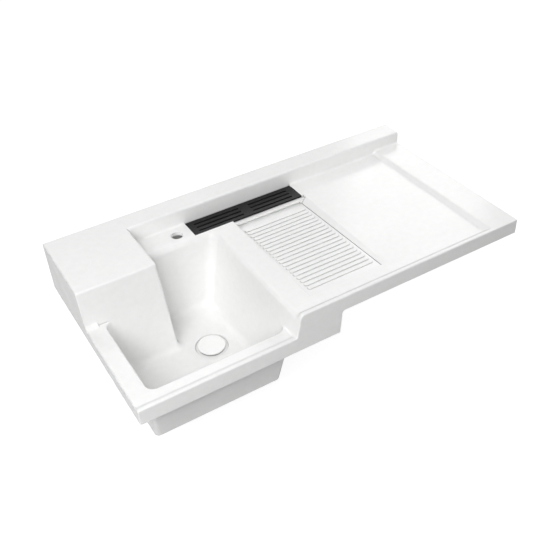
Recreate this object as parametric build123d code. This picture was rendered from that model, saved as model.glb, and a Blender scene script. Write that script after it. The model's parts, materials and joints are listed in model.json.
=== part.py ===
from build123d import *
import math
import os

# A laundry countertop cast in one piece with an L-shaped basin on the left, a raised block behind the basin's
# low rim, a drip board with cross ridges, a covered trough along the back and a plain tray on the right.
# Millimetres. +X runs along the top to the right, +Y goes to the wall, +Z is up. The origin is the front left
# corner of the plane that the top rests on, under the basin's own skirts.

# Driving dimensions of the casting, overall
length = 1200.0
depth = 620.0
skin = 12.0
skirt_thickness = 14.0
edge_radius = 4.0

# Levels above the plane that the top rests on
rim_height = 47.0
rim_lip_rise = 4.0
deck_height = 106.0
deck_lip_rise = 12.0
upstand_height = 157.0
high_skirt_bottom = 72.0
bowl_floor_drop = 132.0

# Front lips and the border at the right end
lip_curve_radius = 16.0
deck_lip_flat = 5.0
rim_lip_flat = 6.0
border_width = 94.0
border_ramp = 12.0
border_blend = 9.0

# Upstand along the wall and the block behind the low rim
splash_thickness = 68.0
block_width = 227.0
block_depth = 264.0
block_front_slope = 0.12
block_side_slope = 0.052
block_corner_radius = 9.0
top_edge_radius = 6.0
block_foot_radius = 16.0
upstand_foot_radius = 7.0

# Basin
left_rim_width = 50.0
front_rim_width = 50.0
rear_ledge = 89.0
step_position = 443.0
step_slope = 0.2
left_wall_slope = 0.056
front_wall_slope = 0.123
rear_wall_slope = 0.0546
bowl_corner_radius = 26.0
bowl_floor_radius = 22.0
bowl_outer_floor_radius = 11.0
bowl_outer_corner_radius = 14.0
step_wall_thickness = 17.0
high_rim_radius = 15.0
low_rim_radius = 5.0
step_foot_radius = 6.0
dish_radius = 60.0
dish_depth = 1.5

# Skirt that drops beside the basin
box_width = 578.0
box_slope = 7.0 / 72.0
box_foot_radius = 10.0

# Tap hole
tap_hole_radius = 17.5
tap_hole_position = 356.0
tap_hole_from_splash = 43.0
tap_hole_edge = 1.5

# Trough along the wall and its cover
cover_left = 400.0
cover_length = 368.0
cover_width = 74.0
cover_recess = 6.0
cover_clearance = 0.4
cover_corner_radius = 2.0
pad_thickness = 1.0
pad_radius = 4.0
pad_inset = 6.0
ledge_width = 10.0
trough_corner_radius = 8.0
rib_depth = 6.0
rib_width = 2.5
rib_clearance = 0.5
rebate_width = 12.0
rebate_depth = 2.5
slot_width = 6.0
slot_pitch = 18.0
slot_rows = 3
slot_first = 15.0
slot_left_margin = 20.0
slot_right_margin = 26.0
slot_group_gap = 31.0
first_group_share = 0.522

# Drip board
board_left = 525.0
board_foot_width = 235.0
board_wall_run = 15.0
board_front = 64.0
board_fall = 17.5
board_front_depth = 0.6
bridge_width = 12.0
bridge_thickness = 6.0
ridge_count = 20
ridge_pitch = 17.75
ridge_first = 94.0
ridge_left = 539.0
ridge_length = 209.0
ridge_width = 12.0
ridge_rise = 3.0
ridge_edge = 1.0
board_groove_width = 2.5
board_groove_depth = 2.0

# Waste fitting in the basin floor
waste_x = 322.0
waste_y = 275.0
seat_depth = 5.0
seat_radius = 49.0
seat_floor_radius = 47.0
waste_hole_radius = 31.0
boss_radius = 60.0
flange_radius = 37.0
flange_thickness = 2.5
flange_edge = 1.0
top_seal_thickness = 1.5
shank_radius = 29.5
shank_length = 33.0
cone_length = 8.0
body_bore_radius = 23.5
ledge_recess_radius = 27.5
ledge_recess_depth = 2.0
outlet_radius = 23.0
outlet_bore_radius = 18.0
outlet_length = 18.0
gasket_thickness = 2.0
gasket_radius = 44.0
locknut_radius = 46.0
locknut_height = 11.0
lug_count = 8
lug_reach = 4.0
lug_width = 9.0
thread_clearance = 0.1

# Outlet pipe under the waste, with a side inlet for a hose
pipe_wall = 2.5
pipe_length = 62.0
collar_thickness = 3.0
washer_thickness = 2.0
pipe_nut_wall = 6.0
pipe_nut_cover = 14.0
pipe_nut_end = 3.5
pipe_nut_clearance = 0.3
pipe_end_radius = 20.0
pipe_end_length = 25.0
inlet_radius = 10.0
inlet_wall = 2.5
inlet_reach = 58.0
inlet_drop = 24.0
inlet_root_radius = 12.0
inlet_root_reach = 27.0

# Basket and plug
basket_clearance = 0.4
basket_seat_gap = 0.3
basket_depth = 28.0
basket_wall = 1.6
basket_hole_radius = 2.2
basket_hole_circle = 14.5
basket_hole_count = 10
basket_window_count = 12
basket_window_width = 3.0
basket_window_height = 14.0
basket_hub_radius = 7.0
basket_hub_height = 14.0
stem_radius = 4.0
stem_clearance = 0.1
stem_length = 34.0
plug_radius = 40.0
plug_thickness = 4.0
plug_edge_radius = 1.8
plug_seal_radius = 34.0
plug_seal_width = 4.0
plug_seal_thickness = 1.7
plug_gap = 0.3

# Outlet in the trough floor
trough_outlet_x = 436.0
trough_hole_radius = 11.5
trough_shank_radius = 11.0
trough_bore_radius = 8.0
trough_flange_radius = 17.0
trough_flange_thickness = 1.6
trough_gasket_thickness = 2.0
trough_nut_radius = 18.0
trough_nut_height = 8.0
trough_thread_end = 4.0
trough_spigot_radius = 10.0
trough_spigot_length = 41.0

# Values that follow from those above
rim_level = rim_height - rim_lip_rise
border_height = deck_height + deck_lip_rise
bowl_floor = -bowl_floor_drop
splash_front = depth - splash_thickness
bowl_rear = splash_front - rear_ledge
block_front = depth - block_depth
cover_front = splash_front - cover_width
ledge_level = deck_height - cover_recess
trough_floor = high_skirt_bottom + skin
trough_left = cover_left + ledge_width
trough_right = cover_left + cover_length - ledge_width
trough_front = cover_front + ledge_width
trough_back = splash_front - ledge_width
board_rear = cover_front - bridge_width
board_rear_level = deck_height - board_front_depth - board_fall
bridge_left = board_left + ledge_width / 2.0
bridge_right = board_left + board_foot_width - ledge_width / 2.0
seat_level = bowl_floor - seat_depth
boss_bottom = seat_level - skin
flange_bottom = seat_level + top_seal_thickness
flange_top = flange_bottom + flange_thickness
shank_bottom = flange_bottom - shank_length
outlet_top = shank_bottom - cone_length
outlet_bottom = outlet_top - outlet_length
gasket_bottom = boss_bottom - gasket_thickness
collar_top = outlet_bottom - washer_thickness
pipe_top = collar_top - collar_thickness
pipe_radius = outlet_bore_radius + pipe_wall
pipe_bottom = pipe_top - pipe_length
inlet_level = pipe_top - inlet_drop
rim_seat = flange_top - ledge_recess_depth + basket_seat_gap
plug_bottom = flange_top + plug_gap + plug_seal_thickness
trough_middle = (trough_front + trough_back) / 2.0
cover_bottom = ledge_level + pad_thickness
over = 150.0
sky = upstand_height + over
tall = 40.0


# Faces of the casting that lean, as places along X or Y at a given level

def step_x(z):
    return step_position + step_slope * (z - rim_height)


def block_x(z):
    return block_width - block_side_slope * (z - upstand_height)


def block_y(z):
    return block_front + block_front_slope * (z - upstand_height)


def bowl_left_x(z):
    return left_rim_width - left_wall_slope * (z - rim_level)


def bowl_front_y(z):
    return front_rim_width - front_wall_slope * (z - rim_level)


def bowl_rear_y(z):
    return bowl_rear + rear_wall_slope * (z - deck_height)


def box_x(z):
    return box_width + box_slope * z


# Small helpers

def only_solid(shape):
    return max(shape.solids(), key=lambda solid: solid.volume)


def face_from(points, rounded=None):
    """A flat face on a closed run of straight lines, with some of its corners rounded."""
    wire = Wire.make_polygon(points, close=True)
    for index, radius in (rounded or {}).items():
        place = Vector(*points[index])
        corner = min(wire.vertices(), key=lambda vertex: (Vector(vertex) - place).length)
        wire = wire.fillet_2d(radius, [corner])
    return Face(wire)


def prism(face, x=0.0, y=0.0, z=0.0):
    return Solid.extrude(face, Vector(x, y, z))


def block_between(x0, x1, y0, y1, z0, z1):
    return Pos(x0, y0, z0) * Solid.make_box(x1 - x0, y1 - y0, z1 - z0)


def stadium(x0, x1, y, width, bottom, top):
    """An upright prism with round ends that runs along X."""
    radius = width / 2.0
    form = block_between(x0 + radius, x1 - radius, y - radius, y + radius, bottom, top)
    for x in (x0 + radius, x1 - radius):
        form += Pos(x, y, bottom) * Solid.make_cylinder(radius, top - bottom)
    return form


def leaning_box(bottom, top, left, right, front, rear):
    """A box whose four upright faces lean: each of them is a place along X or Y, given for a level."""
    across = face_from([
        (left(bottom), 0.0, bottom),
        (right(bottom), 0.0, bottom),
        (right(top), 0.0, top),
        (left(top), 0.0, top),
    ])
    along = face_from([
        (0.0, front(bottom), bottom),
        (0.0, rear(bottom), bottom),
        (0.0, rear(top), top),
        (0.0, front(top), top),
    ])
    wide = Pos(0.0, -2.0 * over, 0.0) * prism(across, y=depth + 4.0 * over)
    return only_solid(wide & Pos(-2.0 * over, 0.0, 0.0) * prism(along, x=length + 4.0 * over))


def edges_within(shape, inside):
    """The edges that start, pass their middle and end where the test holds."""
    return [edge for edge in shape.edges() if all(inside(edge @ t) for t in (0.0, 0.5, 1.0))]


def long_edges(shape, at_least):
    return [edge for edge in shape.edges() if abs((edge @ 0).Z - (edge @ 1).Z) > at_least]


def turned(profile_points):
    """A solid of revolution about the Z axis from points given as radius and level."""
    face = face_from([(radius, 0.0, level) for radius, level in profile_points])
    return Solid.revolve(face, 360.0, Axis.Z)


def ring(outer, inner, bottom, top):
    return turned([(inner, bottom), (outer, bottom), (outer, top), (inner, top)])


# Air that the casting leaves free

def lip_profile(flat, high, low):
    """Edges in the YZ plane: a flat lip at the front that falls to the level behind it in two arcs."""
    turn = math.acos(1.0 - (high - low) / (2.0 * lip_curve_radius))
    half_run = lip_curve_radius * math.sin(turn)
    middle = (0.0, flat + half_run, (high + low) / 2.0)
    end = (0.0, flat + 2.0 * half_run, low)
    first = TangentArc((0.0, flat, high), middle, tangent=(0.0, 1.0, 0.0))
    second = TangentArc(middle, end, tangent=first % 1)
    return [Edge.make_line((0.0, -over, high), (0.0, flat, high)), first, second]


def air_over_deck():
    lip = lip_profile(deck_lip_flat, border_height, deck_height)
    edges = lip + [
        Edge.make_line(lip[-1] @ 1, (0.0, splash_front, deck_height)),
        Edge.make_line((0.0, splash_front, deck_height), (0.0, splash_front, sky)),
        Edge.make_line((0.0, splash_front, sky), (0.0, -over, sky)),
        Edge.make_line((0.0, -over, sky), (0.0, -over, border_height)),
    ]
    along = Pos(-over, 0.0, 0.0) * prism(Face(Wire(edges)), x=length + 2.0 * over)
    border_foot = length - border_width - border_ramp
    points = [
        (-2.0 * over, 0.0, sky),
        (-2.0 * over, 0.0, deck_height),
        (border_foot, 0.0, deck_height),
        (border_foot + border_ramp, 0.0, border_height),
        (length + 2.0 * over, 0.0, border_height),
        (length + 2.0 * over, 0.0, sky),
    ]
    across = Pos(0.0, -2.0 * over, 0.0) * prism(face_from(points, {2: border_blend, 3: border_blend}),
                                                y=depth + 4.0 * over)
    return only_solid(along & across)


def air_over_rim():
    end = (block_front + bowl_rear) / 2.0
    points = [
        (-over, 0.0, rim_level),
        (step_x(rim_level), 0.0, rim_level),
        (step_x(sky), 0.0, sky),
        (-over, 0.0, sky),
    ]
    across = Pos(0.0, -over, 0.0) * prism(face_from(points), y=over + end)
    lip = lip_profile(rim_lip_flat, rim_height, rim_level)
    edges = lip + [
        Edge.make_line(lip[-1] @ 1, (0.0, end, rim_level)),
        Edge.make_line((0.0, end, rim_level), (0.0, end, sky)),
        Edge.make_line((0.0, end, sky), (0.0, -over, sky)),
        Edge.make_line((0.0, -over, sky), (0.0, -over, rim_height)),
    ]
    along = Pos(-2.0 * over, 0.0, 0.0) * prism(Face(Wire(edges)), x=length + 4.0 * over)
    return only_solid(across & along)


def plain_block(bottom, top, grow=0.0):
    """The block's form with sharp edges, which runs on past the left end and the wall."""
    return leaning_box(
        bottom,
        top,
        lambda z: -over,
        lambda z: block_x(z) + grow,
        lambda z: block_y(z) - grow,
        lambda z: depth + over,
    )


def block_form():
    block = plain_block(bowl_floor - tall, upstand_height)
    corner = [edge for edge in long_edges(block, tall) if edge.center().X > 0.0 and edge.center().Y < depth]
    return block.fillet(block_corner_radius, corner)


def bowl_form(bottom, top, floor_radius, corner_radius, grow=0.0, step_grow=0.0):
    """The basin's L-shaped form, with its upright corners and its floor edge rounded."""
    form = leaning_box(
        bottom,
        top,
        lambda z: bowl_left_x(z) - grow,
        lambda z: step_x(z) + step_grow,
        lambda z: bowl_front_y(z) - grow,
        lambda z: bowl_rear_y(z) + grow,
    )
    form = only_solid(form - plain_block(bottom - 1.0, top + 1.0, -grow))
    corners = [
        (bowl_left_x(0.0) - grow, bowl_front_y(0.0) - grow, corner_radius),
        (step_x(0.0) + step_grow, bowl_front_y(0.0) - grow, corner_radius),
        (step_x(0.0) + step_grow, bowl_rear_y(0.0) + grow, corner_radius),
        (block_x(0.0) - grow, bowl_rear_y(0.0) + grow, corner_radius),
        (block_x(0.0) - grow, block_y(0.0) + grow, block_corner_radius),
        (bowl_left_x(0.0) - grow, block_y(0.0) + grow, corner_radius),
    ]
    for x, y, radius in corners:
        corner = min(long_edges(form, tall), key=lambda edge: level_crossing(edge, (x, y, 0.0)))
        form = form.fillet(radius, [corner])
    floor_edges = edges_within(form, lambda p: abs(p.Z - bottom) < 0.1)
    return form.fillet(floor_radius, floor_edges)


def bell_mouth(bowl, block):
    """The part of the basin's opening that flares out at the low rim."""
    margin = 3.0 * low_rim_radius
    slab = leaning_box(
        rim_level,
        rim_level + margin,
        lambda z: bowl_left_x(z) - margin,
        lambda z: step_x(z) + margin,
        lambda z: bowl_front_y(z) - margin,
        lambda z: bowl_rear_y(z) + margin,
    )
    mouth = only_solid(bowl + slab)
    outside = slab.bounding_box()
    loop = edges_within(mouth, lambda p: abs(p.Z - rim_level) < 0.1 and p.X > outside.min.X + margin / 2.0
                        and p.X < step_x(rim_level) + 0.5 and p.Y > bowl_front_y(rim_level) - 1.0
                        and p.Y < bowl_rear_y(rim_level) + 0.5)
    mouth = mouth.fillet(low_rim_radius, loop)
    kept = leaning_box(
        rim_level - margin,
        rim_level + margin,
        lambda z: 0.0,
        step_x,
        lambda z: 0.0,
        lambda z: block_front,
    )
    return only_solid(mouth & kept - block)


def level_crossing(edge, place):
    """How far from a place in the plane z = 0 an edge passes."""
    start = edge @ 0
    end = edge @ 1
    share = (0.0 - start.Z) / (end.Z - start.Z)
    return (start + (end - start) * share - Vector(*place)).length


def top_air():
    """Everything open above the casting, with the inner corners of the casting rounded."""
    block = block_form()
    over_rim = only_solid(air_over_rim() - block)
    foot = edges_within(over_rim, lambda p: abs(p.Z - rim_level) < 0.1 and p.X < block_x(rim_level) + 1.0
                        and abs(p.Y - block_y(rim_level)) < block_corner_radius + 3.0)
    over_rim = over_rim.fillet(block_foot_radius, foot)
    over_deck = only_solid(air_over_deck() - block)
    side = edges_within(over_deck, lambda p: abs(p.Z - deck_height) < 0.1
                        and p.X < block_x(deck_height) + 1.0 and p.Y > block_y(deck_height) - 1.0)
    side += edges_within(over_deck, lambda p: abs(p.Y - splash_front) < 0.1 and p.Z < border_height + 0.1)
    side += edges_within(over_deck, lambda p: abs(p.Y - splash_front) < 0.1 and p.Z < upstand_height - 0.1
                         and abs(p.X - block_x(p.Z)) < 1.0)
    over_deck = over_deck.fillet(upstand_foot_radius, side)
    bowl = bowl_form(bowl_floor, deck_height + 2.0 * tall, bowl_floor_radius, bowl_corner_radius)
    return only_solid(over_rim + bell_mouth(bowl, block) + bowl + over_deck)


# Body of the casting

def outer_body():
    points = [
        (0.0, 0.0, 0.0),
        (box_x(0.0), 0.0, 0.0),
        (box_x(high_skirt_bottom), 0.0, high_skirt_bottom),
        (length, 0.0, high_skirt_bottom),
        (length, 0.0, upstand_height),
        (0.0, 0.0, upstand_height),
    ]
    return prism(face_from(points, {2: box_foot_radius}), y=depth)


def underside_air():
    """The hollows under the rim, behind the basin, in the block, in the upstand and under the tray."""
    below = -1.0
    back = depth - skin
    ceiling = deck_height - skin
    rim_ceiling = rim_level - skin
    left_bay = [
        (skirt_thickness, 0.0, below),
        (box_x(below) - skirt_thickness, 0.0, below),
        (box_x(ceiling) - skirt_thickness, 0.0, ceiling),
        (step_x(ceiling) + skin, 0.0, ceiling),
        (step_x(rim_ceiling) + skin, 0.0, rim_ceiling),
        (skirt_thickness, 0.0, rim_ceiling),
    ]
    air = Pos(0.0, skirt_thickness, 0.0) * prism(face_from(left_bay), y=back - skirt_thickness)
    behind = [
        (block_x(ceiling) - skin, 0.0, below),
        (box_x(below) - skirt_thickness, 0.0, below),
        (box_x(ceiling) - skirt_thickness, 0.0, ceiling),
        (block_x(ceiling) - skin, 0.0, ceiling),
    ]
    start = bowl_rear_y(ceiling) + skin
    air += Pos(0.0, start, 0.0) * prism(face_from(behind), y=back - start)
    in_block = plain_block(below, upstand_height - skin, -skin)
    air += in_block & block_between(skirt_thickness, block_width, 0.0, back, below, upstand_height)
    right_start = box_x(high_skirt_bottom) + box_foot_radius
    right_end = length - skirt_thickness
    air += block_between(right_start, right_end, skirt_thickness, back, high_skirt_bottom - 1.0, ceiling)
    splash_base = splash_front + skin
    air += block_between(block_width - skin, right_end, splash_base, back,
                         ceiling - 1.0, upstand_height - skin)
    return air


def board_level(y):
    share = (y - board_front) / (board_rear - board_front)
    return deck_height - board_front_depth - board_fall * share


def board_section(y):
    """Corners of the drip board's hollow at one place along Y."""
    right = board_left + board_foot_width
    level = board_level(y)
    return [
        (board_left, y, level),
        (right, y, level),
        (right + board_wall_run, y, deck_height),
        (right + board_wall_run, y, deck_height + tall),
        (board_left, y, deck_height + tall),
    ]


def board_air():
    ends = [Wire.make_polygon(board_section(y), close=True) for y in (board_front, board_rear)]
    return Solid.make_loft(ends, ruled=True)


def board_underside():
    right = board_left + board_foot_width + board_wall_run
    points = [
        (0.0, board_front, board_level(board_front) - skin),
        (0.0, cover_front, board_level(cover_front) - skin),
        (0.0, cover_front, deck_height - skin + 1.0),
        (0.0, board_front, deck_height - skin + 1.0),
    ]
    return Pos(board_left - skin, 0.0, 0.0) * prism(face_from(points), x=right - board_left + 2.0 * skin)


def board_groove():
    """A narrow groove along the foot of the board's right wall."""
    right = board_left + board_foot_width
    ends = []
    for y in (board_front, board_rear):
        level = board_level(y)
        ends.append(Wire.make_polygon([
            (right - board_groove_width, y, level - board_groove_depth),
            (right, y, level - board_groove_depth),
            (right, y, level + board_groove_depth),
            (right - board_groove_width, y, level + board_groove_depth),
        ], close=True))
    return Solid.make_loft(ends, ruled=True)


def ridge(y):
    """One cross ridge: a low bar with round ends and a rounded upper edge that stands on the board."""
    top = board_level(y) + ridge_rise
    bar = stadium(ridge_left, ridge_left + ridge_length, y, ridge_width, top - 2.0 * ridge_rise, top)
    return bar.fillet(ridge_edge, edges_within(bar, lambda p: abs(p.Z - top) < 0.01))


def trough_air():
    recess = block_between(cover_left, cover_left + cover_length, cover_front, splash_front, ledge_level, sky)
    trough = block_between(trough_left, trough_right, trough_front, trough_back, trough_floor, sky)
    trough = trough.fillet(trough_corner_radius, long_edges(trough, tall))
    slot = block_between(bridge_left, bridge_right, board_rear - 1.0, trough_front + 1.0,
                         board_rear_level, ledge_level - bridge_thickness)
    step = block_between(board_left, board_left + board_foot_width + board_wall_run,
                         board_rear - 1.0, cover_front + 1.0, ledge_level, sky)
    return recess + trough + slot + step


def trough_underside():
    return block_between(trough_left - skin, trough_right + skin, trough_front - skin, splash_front + skin,
                         high_skirt_bottom, deck_height - skin + 1.0)


def waste_seat():
    """The shallow dish round the waste, its seat and the hole through the floor."""
    sphere_radius = (dish_radius ** 2 + dish_depth ** 2) / (2.0 * dish_depth)
    dish = Pos(0.0, 0.0, bowl_floor - dish_depth + sphere_radius) * Solid.make_sphere(
        sphere_radius, angle1=-90, angle2=90)
    dish &= Pos(0.0, 0.0, bowl_floor - tall) * Solid.make_cylinder(dish_radius + 5.0, 2.0 * tall)
    seat = turned([
        (0.0, boss_bottom - 1.0),
        (waste_hole_radius, boss_bottom - 1.0),
        (waste_hole_radius, seat_level),
        (seat_floor_radius, seat_level),
        (seat_radius, bowl_floor + 1.0),
        (0.0, bowl_floor + 1.0),
    ])
    return Pos(waste_x, waste_y, 0.0) * (dish + seat)


def round_outer_edges(body):
    """Soften the edges along the front and both ends, and the upright corners between them."""
    def on_outside(p):
        return min(abs(p.Y), abs(p.X), abs(p.X - length)) < 0.05 and p.Z > rim_level - 0.1
    edges = [edge for edge in edges_within(body, on_outside) if (edge @ 0.5).Y < depth - 1.0]
    edges = [edge for edge in edges
             if (edge @ 0.5).Z > high_skirt_bottom + 0.5 or (edge @ 0.5).X < step_position]
    edges += [edge for edge in long_edges(body, edge_radius)
              if abs((edge @ 0.5).Y) < 0.05 and abs((edge @ 0.5).X) < 0.05]
    return body.fillet(edge_radius, edges)


def cast_top():
    body = outer_body()
    hollow = underside_air()
    hollow -= board_underside()
    hollow -= trough_underside()
    body = body - hollow
    body += bowl_form(bowl_floor - skin, deck_height, bowl_outer_floor_radius, bowl_outer_corner_radius,
                      skin, step_wall_thickness)
    body += Pos(waste_x, waste_y, boss_bottom) * Solid.make_cylinder(boss_radius, skin + seat_depth)
    body = only_solid((body - top_air()).clean())
    top_edges = edges_within(body, lambda p: abs(p.Z - upstand_height) < 0.05 and p.Y < depth - 1.0)
    body = body.fillet(top_edge_radius, top_edges)
    high_rim = edges_within(body, lambda p: p.Z > deck_height - 0.1 and p.Z < border_height + 0.1
                            and p.Y < bowl_rear + 1.0 and p.X < step_x(border_height) + 1.0
                            and p.X > block_x(deck_height) + 1.0)
    body = body.fillet(high_rim_radius, high_rim)
    step_foot = edges_within(body, lambda p: abs(p.X - step_x(p.Z)) < 0.3
                             and abs(p.Z - rim_level) < rim_lip_rise + 0.1
                             and p.Y < front_rim_width + bowl_corner_radius)
    body = body.fillet(step_foot_radius, step_foot)
    body = round_outer_edges(body)
    body -= board_air() + board_groove()
    body = body.fuse(*[ridge(ridge_first + ridge_pitch * index) for index in range(ridge_count)])
    body -= trough_air()
    body -= Pos(tap_hole_position, splash_front - tap_hole_from_splash, 0.0) * Solid.make_cylinder(
        tap_hole_radius, deck_height + 1.0)
    body -= Pos(trough_outlet_x, trough_middle, 0.0) * Solid.make_cylinder(
        trough_hole_radius, trough_floor + 1.0)
    body -= waste_seat()
    body = only_solid(body.clean())
    tap_edge = edges_within(body, lambda p: abs(p.Z - deck_height) < 0.05 and abs(math.hypot(
        p.X - tap_hole_position, p.Y - splash_front + tap_hole_from_splash) - tap_hole_radius) < 0.1)
    return body.fillet(tap_hole_edge, tap_edge)


def zone(x0=-over, x1=length + over, y0=-over, y1=depth + over, z0=-2.0 * over, z1=sky):
    """A box to cut with, which runs past the casting on each side that isn't named."""
    return block_between(x0, x1, y0, y1, z0, z1)


def cast_pieces():
    """The casting, divided along planes into simple forms that lie face to face."""
    floor_cut = bowl_floor + bowl_floor_radius + 2.0
    deep_cut = rim_level - skin - 11.0
    wall_cut = high_skirt_bottom - box_foot_radius - 2.0
    trough_cut = ledge_level - bridge_thickness - 3.0
    half = boss_radius + 1.0
    outlet_sides = (waste_x - half, waste_x + half, waste_y - half, waste_y + half)
    foot_run = bowl_floor_radius + 2.0
    flat_left = bowl_left_x(bowl_floor) + foot_run
    flat_front = bowl_front_y(bowl_floor) + foot_run
    flat_middle = block_y(bowl_floor) - foot_run
    flat_rear = bowl_rear_y(bowl_floor) - foot_run
    block_right = block_x(deck_height) + upstand_foot_radius + 3.0
    block_fore = block_y(rim_level) - block_foot_radius / 2.0
    step_left = step_x(rim_level) - step_foot_radius - 2.0
    upstand_fore = trough_back - 1.0
    trough_fore = cover_front - 3.0
    board_fore = board_front - 1.0
    board_start = board_left + 1.0
    board_end = board_left + board_foot_width + board_wall_run + skin + 3.0
    basin_inside = skirt_thickness + 8.0
    bay_left = box_width - 3.0 * skirt_thickness
    bay_right = box_width + 2.0 * skirt_thickness
    trough_zone = zone(x0=board_start, y0=board_rear - 1.0, y1=upstand_fore, z0=wall_cut)
    trough_zone += zone(x0=cover_left - skin, x1=board_start + 1.0, y0=trough_fore, y1=upstand_fore,
                        z0=wall_cut)
    bridge_zone = trough_zone & zone(x0=bridge_left, x1=bridge_right, y1=trough_front)
    rear_zone = zone(x0=trough_left - skin, x1=trough_right + skin, y0=upstand_fore, y1=splash_front + skin,
                     z0=wall_cut, z1=ledge_level)
    zones = {
        "top_drip_board": zone(x0=board_start, x1=board_end, y0=board_fore, y1=board_rear - 1.0, z0=wall_cut),
        "top_tray": zone(x0=board_end, y0=board_fore, y1=upstand_fore),
        "top_front_border": zone(x0=board_start, y1=board_fore, z0=deep_cut),
        "top_trough_bridge": bridge_zone & zone(z0=trough_cut),
        "top_trough_sill": bridge_zone,
        "top_trough_floor": (trough_zone + rear_zone) & zone(z1=trough_floor),
        "top_trough_rear": rear_zone,
        "top_trough_left": trough_zone & zone(x1=bridge_left),
        "top_trough_right": trough_zone,
        "top_basin_outlet": zone(*outlet_sides, z1=floor_cut),
        "top_basin_front_floor": zone(flat_left, outlet_sides[1], flat_front, flat_middle, z1=floor_cut),
        "top_basin_rear_floor": zone(block_x(bowl_floor) + foot_run, outlet_sides[1], flat_middle, flat_rear,
                                     z1=floor_cut),
        "top_basin_foot": zone(z1=floor_cut),
        "top_basin_walls": zone(x0=basin_inside, x1=bay_left, y0=basin_inside, y1=upstand_fore, z1=deep_cut),
        "top_skirt": zone(z1=deep_cut)
        + zone(x0=bay_left, x1=bay_right, y0=board_fore, y1=upstand_fore, z1=wall_cut),
        "top_block": zone(x1=block_right, y0=block_fore),
        "top_upstand": zone(y0=upstand_fore),
        "top_rim": zone(x1=step_left, y1=block_fore),
        "top_basin_rear": zone(x1=step_left, y1=trough_fore),
        "top_step": zone(y1=trough_fore),
    }
    rest = cast_top()
    divided = {}
    for name, cutter in zones.items():
        divided[name] = rest & cutter
        rest -= cutter
    divided["top_tap_deck"] = rest
    return divided


# Trough cover, which lifts out

def trough_cover():
    left = cover_left + cover_clearance
    right = cover_left + cover_length - cover_clearance
    front = cover_front + cover_clearance
    back = splash_front - cover_clearance
    plate = block_between(left, right, front, back, cover_bottom, deck_height)
    plate = plate.fillet(cover_corner_radius, long_edges(plate, 1.0))
    plate -= block_between(left - 1.0, right + 1.0, back - rebate_width, back + 1.0,
                           deck_height - rebate_depth, deck_height + 1.0)
    start = cover_left + slot_left_margin
    end = cover_left + cover_length - slot_right_margin
    first_end = start + (end - start - slot_group_gap) * first_group_share
    for x0, x1 in ((start, first_end), (first_end + slot_group_gap, end)):
        for row in range(slot_rows):
            y = cover_front + slot_first + slot_pitch * row
            plate -= stadium(x0, x1, y, slot_width, cover_bottom - 1.0, deck_height + 1.0)
    rib_start = cover_left + ledge_width + trough_corner_radius
    rib_end = cover_left + cover_length - ledge_width - trough_corner_radius
    for y in (trough_front + rib_clearance, trough_back - rib_clearance - rib_width):
        plate += block_between(rib_start, rib_end, y, y + rib_width, cover_bottom - rib_depth, cover_bottom)
    return only_solid(plate)


def cover_pad(x, y):
    return Pos(x, y, ledge_level) * Solid.make_cylinder(pad_radius, pad_thickness)


def cover_pads():
    near = (cover_left + pad_inset + pad_radius, cover_front + ledge_width / 2.0)
    far = (cover_left + cover_length - pad_inset - pad_radius, splash_front - ledge_width / 2.0)
    places = [(near[0], near[1]), (far[0], near[1]), (near[0], far[1]), (far[0], far[1])]
    return {f"cover_pad_{index + 1}": cover_pad(x, y) for index, (x, y) in enumerate(places)}


# Waste fitting

def waste_body():
    return turned([
        (ledge_recess_radius, flange_top),
        (flange_radius - flange_edge, flange_top),
        (flange_radius, flange_top - flange_edge),
        (flange_radius, flange_bottom),
        (shank_radius, flange_bottom),
        (shank_radius, shank_bottom),
        (outlet_radius, outlet_top),
        (outlet_radius, outlet_bottom),
        (outlet_bore_radius, outlet_bottom),
        (outlet_bore_radius, outlet_top),
        (body_bore_radius, shank_bottom),
        (body_bore_radius, flange_top - ledge_recess_depth),
        (ledge_recess_radius, flange_top - ledge_recess_depth),
    ])


def waste_top_seal():
    return ring(flange_radius, shank_radius + thread_clearance, seat_level, flange_bottom)


def waste_gasket():
    return ring(gasket_radius, shank_radius + thread_clearance, gasket_bottom, boss_bottom)


def waste_locknut():
    bottom = gasket_bottom - locknut_height
    nut = ring(locknut_radius, shank_radius + thread_clearance, bottom, gasket_bottom)
    for index in range(lug_count):
        lug = block_between(locknut_radius - 1.0, locknut_radius + lug_reach,
                            -lug_width / 2.0, lug_width / 2.0, bottom, gasket_bottom - 1.0)
        nut += Rot(0.0, 0.0, 360.0 / lug_count * index) * lug
    return only_solid(nut)


# Outlet pipe

def tailpiece_washer():
    return ring(outlet_radius, outlet_bore_radius, collar_top, outlet_bottom)


def tailpiece():
    """The pipe below the waste with its collar and the side inlet for a hose, which points to the right."""
    bore = pipe_radius - pipe_wall
    pipe = turned([
        (bore, collar_top),
        (outlet_radius, collar_top),
        (outlet_radius, pipe_top),
        (pipe_radius, pipe_top),
        (pipe_radius, pipe_bottom + pipe_end_length),
        (pipe_end_radius, pipe_bottom + pipe_end_length),
        (pipe_end_radius, pipe_bottom),
        (bore, pipe_bottom),
    ])
    sideways = Pos(0.0, 0.0, inlet_level) * Rot(0.0, 90.0, 0.0)
    root = sideways * Solid.make_cylinder(inlet_root_radius, inlet_root_reach)
    sleeve = sideways * Solid.make_cylinder(inlet_radius, inlet_reach)
    inside = Pos(0.0, 0.0, pipe_bottom) * Solid.make_cylinder(bore, pipe_length + collar_thickness)
    inside += sideways * Solid.make_cylinder(inlet_radius - inlet_wall, inlet_reach + 1.0)
    return only_solid(pipe + root + sleeve - inside)


def tailpiece_nut():
    inner = outlet_radius + thread_clearance
    outer = inner + pipe_nut_wall
    neck = pipe_radius + pipe_nut_clearance
    bottom = pipe_top - pipe_nut_end
    top = outlet_bottom + pipe_nut_cover
    return turned([
        (neck, bottom),
        (outer, bottom),
        (outer, top),
        (inner, top),
        (inner, pipe_top),
        (neck, pipe_top),
    ])


# Basket and plug

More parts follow.
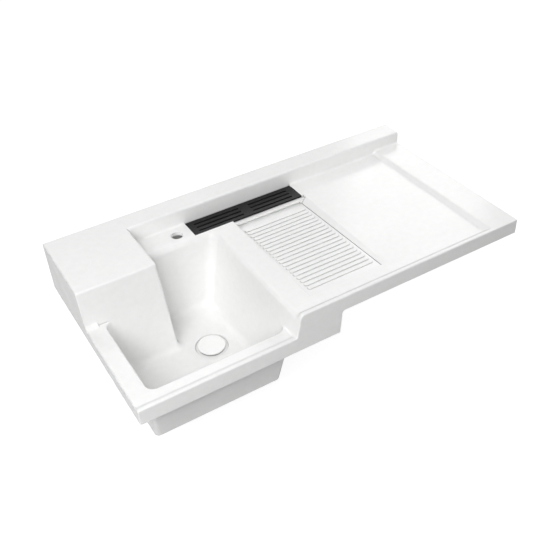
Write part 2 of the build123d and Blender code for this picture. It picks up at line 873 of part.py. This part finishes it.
def strainer_basket():
    outside = body_bore_radius - basket_clearance
    inside = outside - basket_wall
    rim = ledge_recess_radius - basket_clearance
    bore = stem_radius + stem_clearance
    bottom = rim_seat - basket_depth
    floor_top = bottom + basket_wall
    rim_top = rim_seat + basket_wall
    basket = turned([
        (bore, bottom),
        (outside, bottom),
        (outside, rim_seat),
        (rim, rim_seat),
        (rim, rim_top),
        (inside, rim_top),
        (inside, floor_top),
        (basket_hub_radius, floor_top),
        (basket_hub_radius, bottom + basket_hub_height),
        (bore, bottom + basket_hub_height),
    ])
    for index in range(basket_hole_count):
        hole = Pos(basket_hole_circle, 0.0, bottom - 1.0) * Solid.make_cylinder(
            basket_hole_radius, basket_wall + 2.0)
        basket -= Rot(0.0, 0.0, 360.0 / basket_hole_count * index) * hole
    window_bottom = bottom + basket_hub_height / 2.0
    for index in range(basket_window_count):
        window = block_between(inside - 1.0, outside + 1.0,
                               -basket_window_width / 2.0, basket_window_width / 2.0,
                               window_bottom, window_bottom + basket_window_height)
        basket -= Rot(0.0, 0.0, 360.0 / basket_window_count * index) * window
    return only_solid(basket)


def plug_cap():
    cap = Pos(0.0, 0.0, plug_bottom) * Solid.make_cylinder(plug_radius, plug_thickness)
    rim = edges_within(cap, lambda p: p.Z > plug_bottom + plug_thickness - 0.01)
    return cap.fillet(plug_edge_radius, rim)


def plug_seal():
    return ring(plug_seal_radius, plug_seal_radius - plug_seal_width,
                plug_bottom - plug_seal_thickness, plug_bottom)


def plug_stem():
    return Pos(0.0, 0.0, plug_bottom - stem_length) * Solid.make_cylinder(stem_radius, stem_length)


# Trough outlet

def trough_outlet():
    thread_bottom = high_skirt_bottom - trough_gasket_thickness - trough_nut_height - trough_thread_end
    flange_level = trough_floor + trough_flange_thickness
    return turned([
        (trough_bore_radius, flange_level),
        (trough_flange_radius, flange_level),
        (trough_flange_radius, trough_floor),
        (trough_shank_radius, trough_floor),
        (trough_shank_radius, thread_bottom),
        (trough_spigot_radius, thread_bottom),
        (trough_spigot_radius, thread_bottom - trough_spigot_length),
        (trough_bore_radius, thread_bottom - trough_spigot_length),
    ])


def trough_gasket():
    return ring(trough_nut_radius, trough_shank_radius + thread_clearance,
                high_skirt_bottom - trough_gasket_thickness, high_skirt_bottom)


def trough_nut():
    top = high_skirt_bottom - trough_gasket_thickness
    bottom = top - trough_nut_height
    turns = [math.radians(60.0 * index) for index in range(6)]
    corners = [(trough_nut_radius * math.cos(turn), trough_nut_radius * math.sin(turn), bottom)
               for turn in turns]
    nut = prism(face_from(corners), z=trough_nut_height)
    hole = Pos(0.0, 0.0, bottom - 1.0) * Solid.make_cylinder(trough_shank_radius + thread_clearance,
                                                             trough_nut_height + 2.0)
    return only_solid(nut - hole)


# Every piece in its place

def pieces():
    at_waste = Pos(waste_x, waste_y, 0.0)
    at_trough = Pos(trough_outlet_x, trough_middle, 0.0)
    placed = {
        "trough_cover": trough_cover(),
        "waste_body": at_waste * waste_body(),
        "waste_top_seal": at_waste * waste_top_seal(),
        "waste_gasket": at_waste * waste_gasket(),
        "waste_locknut": at_waste * waste_locknut(),
        "tailpiece_washer": at_waste * tailpiece_washer(),
        "tailpiece_nut": at_waste * tailpiece_nut(),
        "tailpiece": at_waste * tailpiece(),
        "strainer_basket": at_waste * strainer_basket(),
        "plug_cap": at_waste * plug_cap(),
        "plug_seal": at_waste * plug_seal(),
        "plug_stem": at_waste * plug_stem(),
        "trough_outlet": at_trough * trough_outlet(),
        "trough_gasket": at_trough * trough_gasket(),
        "trough_nut": at_trough * trough_nut(),
    }
    placed.update(cast_pieces())
    placed.update(cover_pads())
    return placed


os.makedirs("parts", exist_ok=True)
for name, shape in pieces().items():
    export_step(shape, f"parts/{name}.step")
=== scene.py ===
import json
import math

import bpy
from mathutils import Euler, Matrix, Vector


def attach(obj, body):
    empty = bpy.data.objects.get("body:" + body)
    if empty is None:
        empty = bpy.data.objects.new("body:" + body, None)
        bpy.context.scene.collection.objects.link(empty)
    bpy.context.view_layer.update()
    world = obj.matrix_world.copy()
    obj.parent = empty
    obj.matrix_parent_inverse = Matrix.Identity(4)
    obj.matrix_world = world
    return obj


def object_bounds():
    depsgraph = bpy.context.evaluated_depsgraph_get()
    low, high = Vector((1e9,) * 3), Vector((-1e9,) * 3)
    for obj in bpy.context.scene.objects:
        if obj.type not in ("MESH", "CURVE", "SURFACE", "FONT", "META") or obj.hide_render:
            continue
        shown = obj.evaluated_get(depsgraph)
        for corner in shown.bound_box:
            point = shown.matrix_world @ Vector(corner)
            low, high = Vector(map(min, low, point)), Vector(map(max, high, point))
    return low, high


# A laundry countertop of glossy white cast stone, with its basin on the left, seen from above and the left.
# Metres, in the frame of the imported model: +X along the top, +Y to the wall, +Z up.

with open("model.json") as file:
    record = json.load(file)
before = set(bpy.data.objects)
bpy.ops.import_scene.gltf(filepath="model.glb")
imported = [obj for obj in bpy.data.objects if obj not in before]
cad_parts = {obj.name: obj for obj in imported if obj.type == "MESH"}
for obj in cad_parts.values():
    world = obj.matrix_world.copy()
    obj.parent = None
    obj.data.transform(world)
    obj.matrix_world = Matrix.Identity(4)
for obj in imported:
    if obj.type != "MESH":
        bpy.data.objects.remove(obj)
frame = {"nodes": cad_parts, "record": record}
nodes = frame["nodes"]
cad_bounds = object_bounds()

# Camera, as solved from the photograph
CAMERA_PLACE = (-0.3033, -1.2245, 1.4122)
CAMERA_TURN = (50.787, 2.183, -31.682)
CAMERA_LENS = 49.62
CAMERA_REACH = 100.0
SENSOR_WIDTH = 36.0

# Studio
FLOOR_SIZE = 40.0
FLOOR_GAP = 0.0005
WORLD_LIGHT = 0.04
WHITE = 1.0
FLOOR_TONE = 0.45
FLOOR_SEEN_TONE = 0.3
FLOOR_GLOW_NEAR = 0.88
FLOOR_GLOW_FAR = 1.0
FLOOR_GLOW_RADII = (0.75, 1.5)
FLOOR_MIRRORED = 0.5
LAMP_TARGET = (0.5, 0.25, 0.0)
LAMP_DISTANCE = 2.95

# Lamps: degrees round the object from its front, degrees above it, size and power
LAMPS = {
    "key_left": (-46.0, 45.0, 1.9, 65.0),
    "low_left": (-46.0, 25.0, 1.9, 16.0),
    "side_right": (90.0, 30.0, 1.9, 34.0),
    "behind": (180.0, 45.0, 1.9, 9.0),
    "behind_right": (140.0, 45.0, 1.9, 6.5),
    "behind_left": (-140.0, 45.0, 1.9, 3.0),
    "gleam": (129.6, 29.6, 0.9, 4.8),
}

# The casting: its two whites, its gloss above, what its under faces add to that, and its fine grain
STONE_DARK = (0.88, 0.88, 0.875)
STONE_PALE = (0.91, 0.91, 0.905)
STONE_GLOSS = (0.16, 0.24)
STONE_UNDER_GLOSS = 0.55
STONE_UNDER_NORMALS = (-0.9, -0.6)
STONE_MOTTLE_SCALE = 55.0
STONE_GLOSS_SCALE = 14.0
STONE_GRAIN_SCALE = 260.0
STONE_GRAIN_HEIGHT = 0.00003
STONE_IOR = 1.5

# Painted shade: the casting's colour is darkened in narrow creases, gaps and inner corners, where shade
# falls
PAINTED_SHADE_REACH = 0.004
PAINTED_SHADE_TONE = 0.42
PAINTED_SHADE_SAMPLES = 8
PAINTED_SHADE_OPENNESS = (0.35, 0.95)

# The part of a noise's range that is stretched over a colour's or a gloss's range
NOISE_RANGE = (0.3, 0.7)
PATCH_RANGE = (0.35, 0.65)

# Threads and hose ridges of the fittings under the top
WASTE_AXIS = (0.322, 0.275)
TROUGH_AXIS = (0.436, 0.515)
WASTE_THREAD = {"radius": 0.0295, "low": -0.1678, "pitch": 0.0023, "turns": 2.0, "rise": 0.0008}
TROUGH_THREAD = {"radius": 0.011, "low": 0.0587, "pitch": 0.0016, "turns": 1.5, "rise": 0.0006}
SIDE_INLET_LEVEL = -0.2235
SIDE_INLET_RIDGES = (0.3765, 0.3705, 0.3645)
TROUGH_RIDGES = (0.0225, 0.0285, 0.0345)
SPIGOT_RADIUS = 0.010
RIDGE_RISE = 0.0009
RIDGE_LENGTH = 0.0042
SINK = 0.0003
SWEEP_STEPS = 72


# Materials

def new_material(name):
    """A new node material, with its tree and its Principled shader."""
    material = bpy.data.materials.new(name)
    material.use_nodes = True
    tree = material.node_tree
    shader = tree.nodes["Principled BSDF"]
    return material, tree, shader


def noise(tree, scale, detail=3.0, roughness=0.5, factors=(1.0, 1.0, 1.0)):
    """A noise in the object's own coordinates, which are multiplied by a factor along each axis."""
    place = tree.nodes.new("ShaderNodeTexCoord")
    mapping = tree.nodes.new("ShaderNodeMapping")
    mapping.inputs["Scale"].default_value = factors
    texture = tree.nodes.new("ShaderNodeTexNoise")
    texture.inputs["Scale"].default_value = scale
    texture.inputs["Detail"].default_value = detail
    texture.inputs["Roughness"].default_value = roughness
    tree.links.new(place.outputs["Object"], mapping.inputs["Vector"])
    tree.links.new(mapping.outputs["Vector"], texture.inputs["Vector"])
    return texture.outputs["Fac"]


def ramp(tree, value, stops):
    """Colours along a value, given as (position, colour)."""
    node = tree.nodes.new("ShaderNodeValToRGB")
    elements = node.color_ramp.elements
    while len(elements) < len(stops):
        elements.new(0.5)
    for element, (position, colour) in zip(elements, stops):
        element.position = position
        element.color = (*colour, 1.0)
    tree.links.new(value, node.inputs["Fac"])
    return node.outputs["Color"]


def math_node(tree, operation, first, second):
    """A Math node on two values, each of which is another node's output or a number."""
    node = tree.nodes.new("ShaderNodeMath")
    node.operation = operation
    for socket, value in zip(node.inputs, (first, second)):
        if isinstance(value, float):
            socket.default_value = value
        else:
            tree.links.new(value, socket)
    return node.outputs["Value"]


def spread(tree, value, low, high, start=NOISE_RANGE[0], end=NOISE_RANGE[1]):
    """A value between start and end, mapped to a number between low and high."""
    node = tree.nodes.new("ShaderNodeMapRange")
    node.inputs["From Min"].default_value = start
    node.inputs["From Max"].default_value = end
    node.inputs["To Min"].default_value = low
    node.inputs["To Max"].default_value = high
    tree.links.new(value, node.inputs["Value"])
    return node.outputs["Result"]


def bump(tree, shader, height, distance):
    """Relief on a shader's surface, from a height that is worth a distance in metres."""
    node = tree.nodes.new("ShaderNodeBump")
    node.inputs["Strength"].default_value = 1.0
    node.inputs["Distance"].default_value = distance
    tree.links.new(height, node.inputs["Height"])
    tree.links.new(node.outputs["Normal"], shader.inputs["Normal"])


def painted_crease_shade(tree, colour, reach, darkest):
    """A colour with painted shade: it darkens in narrow gaps and inner corners, where shade falls, within a
    reach in metres.
    """
    occlusion = tree.nodes.new("ShaderNodeAmbientOcclusion")
    occlusion.samples = PAINTED_SHADE_SAMPLES
    occlusion.inputs["Distance"].default_value = reach
    shade = spread(tree, occlusion.outputs["AO"], darkest, 1.0, *PAINTED_SHADE_OPENNESS)
    mix = tree.nodes.new("ShaderNodeVectorMath")
    mix.operation = "SCALE"
    tree.links.new(colour, mix.inputs["Vector"])
    tree.links.new(shade, mix.inputs["Scale"])
    return mix.outputs["Vector"]


def grained(name, pale, dark, patch, gloss, grain, grain_height, metallic=0.0, layers=1.0, specular=0.5):
    """A material whose colour and gloss vary softly in patches, with a fine grain that may lie in closer
    layers along the upright axis, as on turned metal."""
    material, tree, shader = new_material(name)
    colour = ramp(tree, noise(tree, patch), list(zip(PATCH_RANGE, (dark, pale))))
    tree.links.new(colour, shader.inputs["Base Color"])
    tree.links.new(spread(tree, noise(tree, patch * 2.0), *gloss), shader.inputs["Roughness"])
    bump(tree, shader, noise(tree, grain, 4.0, 0.6, (1.0, 1.0, layers)), grain_height)
    shader.inputs["Metallic"].default_value = metallic
    shader.inputs["Specular IOR Level"].default_value = specular
    return material


def cast_stone():
    """White polished casting: faintly mottled, glossy above and left matt on the faces that look down."""
    material, tree, shader = new_material("cast_stone")
    mottle = noise(tree, STONE_MOTTLE_SCALE, 5.0, 0.55)
    colour = ramp(tree, mottle, list(zip(NOISE_RANGE, (STONE_DARK, STONE_PALE))))
    # Painted shade: the base colour is darkened by ambient occlusion in narrow creases and inner corners
    tree.links.new(painted_crease_shade(tree, colour, PAINTED_SHADE_REACH, PAINTED_SHADE_TONE), shader.inputs["Base Color"])
    geometry = tree.nodes.new("ShaderNodeNewGeometry")
    parts = tree.nodes.new("ShaderNodeSeparateXYZ")
    tree.links.new(geometry.outputs["True Normal"], parts.inputs["Vector"])
    under = spread(tree, parts.outputs["Z"], STONE_UNDER_GLOSS, 0.0, *STONE_UNDER_NORMALS)
    gloss = spread(tree, noise(tree, STONE_GLOSS_SCALE), *STONE_GLOSS)
    tree.links.new(math_node(tree, "ADD", under, gloss), shader.inputs["Roughness"])
    bump(tree, shader, noise(tree, STONE_GRAIN_SCALE, 2.0), STONE_GRAIN_HEIGHT)
    shader.inputs["IOR"].default_value = STONE_IOR
    return material


MATERIALS = {
    "cast_stone": cast_stone(),
    "cover_black": grained(
        "cover_black", pale=(0.009, 0.009, 0.0095), dark=(0.006, 0.006, 0.0065), patch=90.0,
        gloss=(0.34, 0.46), grain=1800.0, grain_height=0.00006, specular=0.22),
    "pad_rubber": grained(
        "pad_rubber", pale=(0.03, 0.03, 0.03), dark=(0.02, 0.02, 0.02), patch=300.0,
        gloss=(0.7, 0.85), grain=2500.0, grain_height=0.00008),
    "waste_white": grained(
        "waste_white", pale=(0.82, 0.82, 0.80), dark=(0.77, 0.77, 0.75), patch=70.0,
        gloss=(0.34, 0.44), grain=900.0, grain_height=0.00005),
    "seal_rubber": grained(
        "seal_rubber", pale=(0.035, 0.035, 0.036), dark=(0.022, 0.022, 0.023), patch=260.0,
        gloss=(0.6, 0.75), grain=2200.0, grain_height=0.00008),
    "nut_grey": grained(
        "nut_grey", pale=(0.36, 0.37, 0.38), dark=(0.31, 0.32, 0.33), patch=110.0,
        gloss=(0.38, 0.5), grain=1200.0, grain_height=0.00006),
    "basket_steel": grained(
        "basket_steel", pale=(0.62, 0.62, 0.61), dark=(0.54, 0.54, 0.53), patch=160.0,
        gloss=(0.2, 0.34), grain=700.0, grain_height=0.00002, metallic=1.0, layers=9.0),
    "cap_white": grained(
        "cap_white", pale=(0.97, 0.97, 0.965), dark=(0.95, 0.95, 0.945), patch=80.0,
        gloss=(0.14, 0.2), grain=600.0, grain_height=0.00002),
    "stem_brass": grained(
        "stem_brass", pale=(0.70, 0.50, 0.22), dark=(0.60, 0.41, 0.17), patch=240.0,
        gloss=(0.24, 0.38), grain=900.0, grain_height=0.00003, metallic=1.0, layers=8.0),
}

for part in frame["record"]["subparts"]:
    data = nodes[part["node"]].data
    data.materials.clear()
    data.materials.append(MATERIALS[part["material_slot"]])


# Threads and hose ridges

def swept(name, slot, place, axis, section, turns=1.0, pitch=0.0):
    """A closed section of (radius, height) points, swept round an axis into a ring or a thread."""
    along = Vector(axis).normalized()
    across = along.orthogonal().normalized()
    beside = along.cross(across)
    ring = pitch == 0.0
    steps = round(SWEEP_STEPS * turns)
    rows = steps if ring else steps + 1
    points = []
    for row in range(rows):
        angle = 2.0 * math.pi * turns * row / steps
        outward = across * math.cos(angle) + beside * math.sin(angle)
        climb = pitch * turns * row / steps
        for radius, height in section:
            points.append(Vector(place) + outward * radius + along * (height + climb))
    size = len(section)
    faces = []
    for row in range(steps):
        start = row * size
        following = (row + 1) % rows * size
        for corner in range(size):
            beyond = (corner + 1) % size
            faces.append((start + corner, following + corner, following + beyond, start + beyond))
    if not ring:
        faces.append(tuple(range(size)))
        faces.append(tuple(reversed(range(steps * size, (steps + 1) * size))))
    mesh = bpy.data.meshes.new(name)
    mesh.from_pydata(points, [], faces)
    mesh.materials.append(MATERIALS[slot])
    piece = bpy.data.objects.new(name, mesh)
    bpy.context.scene.collection.objects.link(piece)
    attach(piece, "top")


def thread(name, slot, axis_place, size):
    """A pointed thread that climbs round an upright shank."""
    base = size["radius"] - SINK
    crest = size["radius"] + size["rise"]
    half = size["pitch"] * 0.4
    section = [(base, -half), (crest, -half * 0.2), (crest, half * 0.2), (base, half)]
    place = (*axis_place, size["low"])
    swept(name, slot, place, (0.0, 0.0, 1.0), section, size["turns"], size["pitch"])


def hose_ridge(name, slot, place, axis):
    """A saw-tooth ring on a spigot, with its slope towards the spigot's end."""
    base = SPIGOT_RADIUS - SINK
    crest = SPIGOT_RADIUS + RIDGE_RISE
    section = [(base, 0.0), (crest, 0.0), (crest, RIDGE_LENGTH * 0.15), (base, RIDGE_LENGTH)]
    swept(name, slot, place, axis, section)


thread("waste_thread", "waste_white", WASTE_AXIS, WASTE_THREAD)
thread("trough_thread", "waste_white", TROUGH_AXIS, TROUGH_THREAD)
for number, x in enumerate(SIDE_INLET_RIDGES, 1):
    root = (x - RIDGE_LENGTH, WASTE_AXIS[1], SIDE_INLET_LEVEL)
    hose_ridge(f"side_ridge_{number}", "waste_white", root, (1.0, 0.0, 0.0))
for number, z in enumerate(TROUGH_RIDGES, 1):
    hose_ridge(f"trough_ridge_{number}", "waste_white", (*TROUGH_AXIS, z), (0.0, 0.0, -1.0))


# Camera

camera = bpy.data.objects.new("camera", bpy.data.cameras.new("camera"))
bpy.context.scene.collection.objects.link(camera)
camera.location = CAMERA_PLACE
camera.rotation_euler = Euler([math.radians(angle) for angle in CAMERA_TURN], "XYZ")
camera.data.sensor_width = SENSOR_WIDTH
camera.data.lens = CAMERA_LENS
camera.data.clip_end = CAMERA_REACH
bpy.context.scene.camera = camera


# Studio

def mirrored_rays(tree, path):
    """A number that is one for glossy and transmission rays and zero for the others."""
    return math_node(tree, "MAXIMUM", path.outputs["Is Glossy Ray"], path.outputs["Is Transmission Ray"])


def build_world():
    """A dim white world that looks fully white to the camera and in mirrors and glass."""
    world = bpy.data.worlds.new("studio")
    world.use_nodes = True
    bpy.context.scene.world = world
    background = world.node_tree.nodes["Background"]
    background.inputs["Color"].default_value = (1.0, 1.0, 1.0, 1.0)
    tree = world.node_tree
    path = tree.nodes.new("ShaderNodeLightPath")
    seen = math_node(tree, "MAXIMUM", path.outputs["Is Camera Ray"], mirrored_rays(tree, path))
    tree.links.new(spread(tree, seen, WORLD_LIGHT, WHITE, 0.0, 1.0), background.inputs["Strength"])


def build_floor():
    """A pale floor whose glow, to the camera, grows to white away from the object's shadow."""
    mesh = bpy.data.meshes.new("floor")
    half = FLOOR_SIZE / 2.0
    level = cad_bounds[0][2] - FLOOR_GAP
    corners = [(-half, -half, level), (half, -half, level), (half, half, level), (-half, half, level)]
    mesh.from_pydata(corners, [], [(0, 1, 2, 3)])
    floor = bpy.data.objects.new("floor", mesh)
    bpy.context.scene.collection.objects.link(floor)
    material, tree, shader = new_material("floor")
    shader.inputs["Roughness"].default_value = 0.9
    shader.inputs["Specular IOR Level"].default_value = 0.0
    shader.inputs["Emission Color"].default_value = (1.0, 1.0, 1.0, 1.0)
    path = tree.nodes.new("ShaderNodeLightPath")
    seen = path.outputs["Is Camera Ray"]
    tree.links.new(spread(tree, seen, FLOOR_TONE, FLOOR_SEEN_TONE, 0.0, 1.0), shader.inputs["Base Color"])
    place = tree.nodes.new("ShaderNodeTexCoord")
    middle = tree.nodes.new("ShaderNodeVectorMath")
    middle.operation = "DISTANCE"
    middle.inputs[1].default_value = (LAMP_TARGET[0], LAMP_TARGET[1], level)
    tree.links.new(place.outputs["Object"], middle.inputs[0])
    near, far = FLOOR_GLOW_RADII
    glow = math_node(tree, "MULTIPLY", seen,
                     spread(tree, middle.outputs["Value"], FLOOR_GLOW_NEAR, FLOOR_GLOW_FAR, near, far))
    mirrored = math_node(tree, "MULTIPLY", mirrored_rays(tree, path), FLOOR_MIRRORED)
    tree.links.new(math_node(tree, "MAXIMUM", glow, mirrored), shader.inputs["Emission Strength"])
    mesh.materials.append(material)


def softbox(name, azimuth, elevation, size, power):
    """A square lamp that looks at the middle of the top, from degrees round the object and above it."""
    turn = math.radians(azimuth)
    rise = math.radians(elevation)
    away = Vector((math.sin(turn) * math.cos(rise), -math.cos(turn) * math.cos(rise), math.sin(rise)))
    light = bpy.data.objects.new(name, bpy.data.lights.new(name, "AREA"))
    bpy.context.scene.collection.objects.link(light)
    light.location = Vector(LAMP_TARGET) + away * LAMP_DISTANCE
    light.rotation_euler = away.to_track_quat("Z", "Y").to_euler()
    light.data.size = size
    light.data.energy = power


build_world()
build_floor()
for name, (azimuth, elevation, size, power) in LAMPS.items():
    softbox(name, azimuth, elevation, size, power)

bpy.context.scene.view_settings.view_transform = "Standard"
